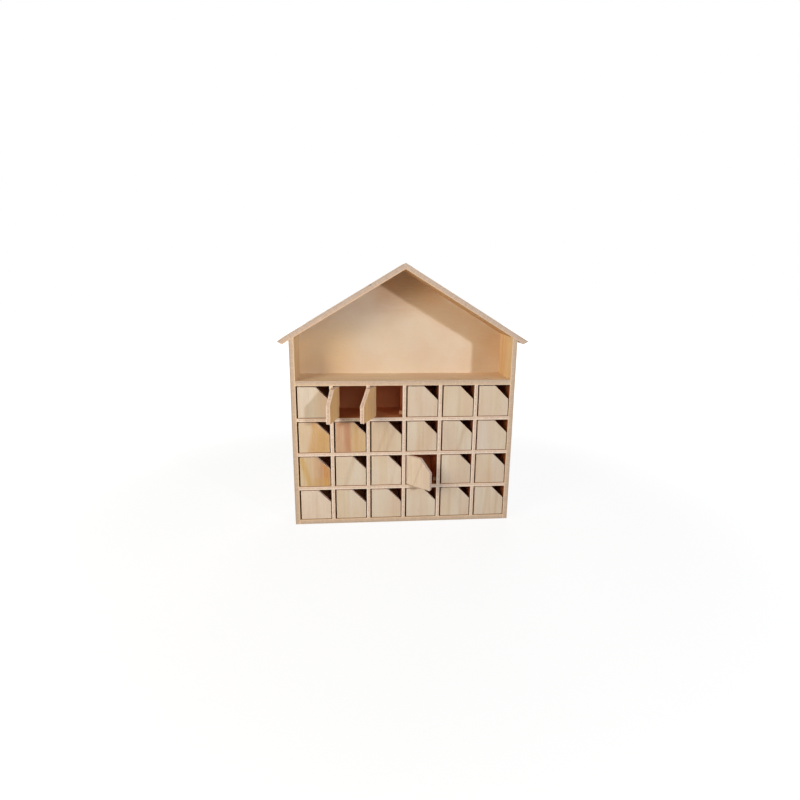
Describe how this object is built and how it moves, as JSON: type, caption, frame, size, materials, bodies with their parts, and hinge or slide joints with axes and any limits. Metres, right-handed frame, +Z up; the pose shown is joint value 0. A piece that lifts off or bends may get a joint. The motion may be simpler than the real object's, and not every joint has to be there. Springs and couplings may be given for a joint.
{
  "type": "advent calendar",
  "caption": "House-shaped plywood advent calendar: an open gable shelf above a grid of compartments, each closed by a pin-hung door with one corner cut off for a finger.",
  "frame": {"origin": "centre of the underside that the calendar stands on", "axes": "-Y out of the doors' side, +X to the right seen from the front, +Z up to the ridge"},
  "size_m": [0.35, 0.1015, 0.375],
  "materials": {
    "case_plywood": "bare sanded plywood",
    "grid_plywood": "bare sanded plywood",
    "back_plywood": "bare thin plywood",
    "door_plywood": "bare sanded plywood",
    "stop_wood": "bare softwood",
    "pin_steel": "bright wire"
  },
  "bodies": {
    "cabinet": {"left_side_panel": "case_plywood", "right_side_panel": "case_plywood", "bottom_panel": "case_plywood", "display_shelf": "case_plywood", "row_shelf_1": "grid_plywood", "row_shelf_2": "grid_plywood", "row_shelf_3": "grid_plywood", "column_divider_1": "grid_plywood", "column_divider_2": "grid_plywood", "column_divider_3": "grid_plywood", "column_divider_4": "grid_plywood", "column_divider_5": "grid_plywood", "back_panel": "back_plywood", "left_roof_panel": "case_plywood", "right_roof_panel": "case_plywood", "hinge_pins_display_shelf": "pin_steel", "hinge_pins_row_shelf_1": "pin_steel", "hinge_pins_row_shelf_2": "pin_steel", "hinge_pins_row_shelf_3": "pin_steel", "hinge_pins_bottom_panel": "pin_steel", "door_stops_row_1": "stop_wood", "door_stops_row_2": "stop_wood", "door_stops_row_3": "stop_wood", "door_stops_row_4": "stop_wood"},
    "door_01_leaf": {"door_01": "door_plywood"},
    "door_02_leaf": {"door_02": "door_plywood"},
    "door_03_leaf": {"door_03": "door_plywood"},
    "door_04_leaf": {"door_04": "door_plywood"},
    "door_05_leaf": {"door_05": "door_plywood"},
    "door_06_leaf": {"door_06": "door_plywood"},
    "door_07_leaf": {"door_07": "door_plywood"},
    "door_08_leaf": {"door_08": "door_plywood"},
    "door_09_leaf": {"door_09": "door_plywood"},
    "door_10_leaf": {"door_10": "door_plywood"},
    "door_11_leaf": {"door_11": "door_plywood"},
    "door_12_leaf": {"door_12": "door_plywood"},
    "door_13_leaf": {"door_13": "door_plywood"},
    "door_14_leaf": {"door_14": "door_plywood"},
    "door_15_leaf": {"door_15": "door_plywood"},
    "door_16_leaf": {"door_16": "door_plywood"},
    "door_17_leaf": {"door_17": "door_plywood"},
    "door_18_leaf": {"door_18": "door_plywood"},
    "door_19_leaf": {"door_19": "door_plywood"},
    "door_20_leaf": {"door_20": "door_plywood"},
    "door_21_leaf": {"door_21": "door_plywood"},
    "door_22_leaf": {"door_22": "door_plywood"},
    "door_23_leaf": {"door_23": "door_plywood"},
    "door_24_leaf": {"door_24": "door_plywood"}
  },
  "joints": [
    {"name": "door_01_hinge", "type": "hinge", "parent": "cabinet", "child": "door_01_leaf", "pos_m": [-0.14681, -0.0295, 0.18475], "axis": [0, 0, -1], "range_deg": [0, 117]},
    {"name": "door_02_hinge", "type": "hinge", "parent": "cabinet", "child": "door_02_leaf", "pos_m": [-0.09531, -0.0295, 0.18475], "axis": [0, 0, -1], "range_deg": [-105, 12]},
    {"name": "door_03_hinge", "type": "hinge", "parent": "cabinet", "child": "door_03_leaf", "pos_m": [-0.04381, -0.0295, 0.18475], "axis": [0, 0, -1], "range_deg": [-114.5, 2.5]},
    {"name": "door_04_hinge", "type": "hinge", "parent": "cabinet", "child": "door_04_leaf", "pos_m": [0.00769, -0.0295, 0.18475], "axis": [0, 0, -1], "range_deg": [0, 117]},
    {"name": "door_05_hinge", "type": "hinge", "parent": "cabinet", "child": "door_05_leaf", "pos_m": [0.05919, -0.0295, 0.18475], "axis": [0, 0, -1], "range_deg": [0, 117]},
    {"name": "door_06_hinge", "type": "hinge", "parent": "cabinet", "child": "door_06_leaf", "pos_m": [0.11069, -0.0295, 0.18475], "axis": [0, 0, -1], "range_deg": [0, 117]},
    {"name": "door_07_hinge", "type": "hinge", "parent": "cabinet", "child": "door_07_leaf", "pos_m": [-0.14681, -0.0295, 0.13325], "axis": [0, 0, -1], "range_deg": [0, 117]},
    {"name": "door_08_hinge", "type": "hinge", "parent": "cabinet", "child": "door_08_leaf", "pos_m": [-0.09531, -0.0295, 0.13325], "axis": [0, 0, -1], "range_deg": [0, 117]},
    {"name": "door_09_hinge", "type": "hinge", "parent": "cabinet", "child": "door_09_leaf", "pos_m": [-0.04381, -0.0295, 0.13325], "axis": [0, 0, -1], "range_deg": [0, 117]},
    {"name": "door_10_hinge", "type": "hinge", "parent": "cabinet", "child": "door_10_leaf", "pos_m": [0.00769, -0.0295, 0.13325], "axis": [0, 0, -1], "range_deg": [0, 117]},
    {"name": "door_11_hinge", "type": "hinge", "parent": "cabinet", "child": "door_11_leaf", "pos_m": [0.05919, -0.0295, 0.13325], "axis": [0, 0, -1], "range_deg": [0, 117]},
    {"name": "door_12_hinge", "type": "hinge", "parent": "cabinet", "child": "door_12_leaf", "pos_m": [0.11069, -0.0295, 0.13325], "axis": [0, 0, -1], "range_deg": [0, 117]},
    {"name": "door_13_hinge", "type": "hinge", "parent": "cabinet", "child": "door_13_leaf", "pos_m": [-0.14681, -0.0295, 0.08175], "axis": [0, 0, -1], "range_deg": [0, 117]},
    {"name": "door_14_hinge", "type": "hinge", "parent": "cabinet", "child": "door_14_leaf", "pos_m": [-0.09531, -0.0295, 0.08175], "axis": [0, 0, -1], "range_deg": [0, 117]},
    {"name": "door_15_hinge", "type": "hinge", "parent": "cabinet", "child": "door_15_leaf", "pos_m": [-0.04381, -0.0295, 0.08175], "axis": [0, 0, -1], "range_deg": [0, 117]},
    {"name": "door_16_hinge", "type": "hinge", "parent": "cabinet", "child": "door_16_leaf", "pos_m": [0.00769, -0.0295, 0.08175], "axis": [0, 0, -1], "range_deg": [-44.5, 72.5]},
    {"name": "door_17_hinge", "type": "hinge", "parent": "cabinet", "child": "door_17_leaf", "pos_m": [0.05919, -0.0295, 0.08175], "axis": [0, 0, -1], "range_deg": [0, 117]},
    {"name": "door_18_hinge", "type": "hinge", "parent": "cabinet", "child": "door_18_leaf", "pos_m": [0.11069, -0.0295, 0.08175], "axis": [0, 0, -1], "range_deg": [0, 117]},
    {"name": "door_19_hinge", "type": "hinge", "parent": "cabinet", "child": "door_19_leaf", "pos_m": [-0.14681, -0.0295, 0.03025], "axis": [0, 0, -1], "range_deg": [0, 117]},
    {"name": "door_20_hinge", "type": "hinge", "parent": "cabinet", "child": "door_20_leaf", "pos_m": [-0.09531, -0.0295, 0.03025], "axis": [0, 0, -1], "range_deg": [0, 117]},
    {"name": "door_21_hinge", "type": "hinge", "parent": "cabinet", "child": "door_21_leaf", "pos_m": [-0.04381, -0.0295, 0.03025], "axis": [0, 0, -1], "range_deg": [0, 117]},
    {"name": "door_22_hinge", "type": "hinge", "parent": "cabinet", "child": "door_22_leaf", "pos_m": [0.00769, -0.0295, 0.03025], "axis": [0, 0, -1], "range_deg": [0, 117]},
    {"name": "door_23_hinge", "type": "hinge", "parent": "cabinet", "child": "door_23_leaf", "pos_m": [0.05919, -0.0295, 0.03025], "axis": [0, 0, -1], "range_deg": [0, 117]},
    {"name": "door_24_hinge", "type": "hinge", "parent": "cabinet", "child": "door_24_leaf", "pos_m": [0.11069, -0.0295, 0.03025], "axis": [0, 0, -1], "range_deg": [0, 117]}
  ]
}
